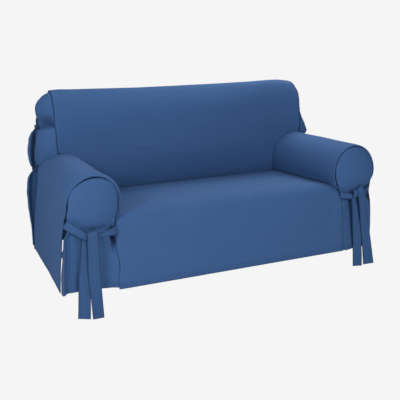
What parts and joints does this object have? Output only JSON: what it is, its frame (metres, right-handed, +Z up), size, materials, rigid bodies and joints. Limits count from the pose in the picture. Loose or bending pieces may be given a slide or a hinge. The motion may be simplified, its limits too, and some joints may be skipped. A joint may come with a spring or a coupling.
{
  "type": "sofa slipcover",
  "caption": "Fitted cotton slipcover for a two-seat sofa with rolled arms, shown as it hangs on the sofa, with cloth ties at the arm fronts and rear corners.",
  "frame": {"origin": "middle of the cover in plan, level with the tips of the arm ties", "axes": "+X along the sofa, to the right seen from the front; +Y from the front of the seat to the back; +Z up"},
  "size_m": [1.746, 0.9476, 0.9996],
  "materials": {
    "cloth": "matte medium-blue cotton duck, plain weave",
    "tie_cloth": "matte medium-blue cotton duck, plain weave"
  },
  "bodies": {
    "root": {"seat_and_front": "cloth", "inside_back": "cloth", "outside_back": "cloth", "arm_panel_left": "cloth", "arm_panel_right": "cloth", "arm_front_left": "cloth", "arm_front_right": "cloth", "end_gusset_left": "cloth", "end_gusset_right": "cloth", "arm_tie_left_outer": "tie_cloth", "arm_tie_left_inner": "tie_cloth", "arm_tie_right_inner": "tie_cloth", "arm_tie_right_outer": "tie_cloth", "corner_tie_left_upper": "tie_cloth", "corner_tie_left_lower": "tie_cloth", "corner_tie_right_upper": "tie_cloth", "corner_tie_right_lower": "tie_cloth"}
  },
  "joints": []
}
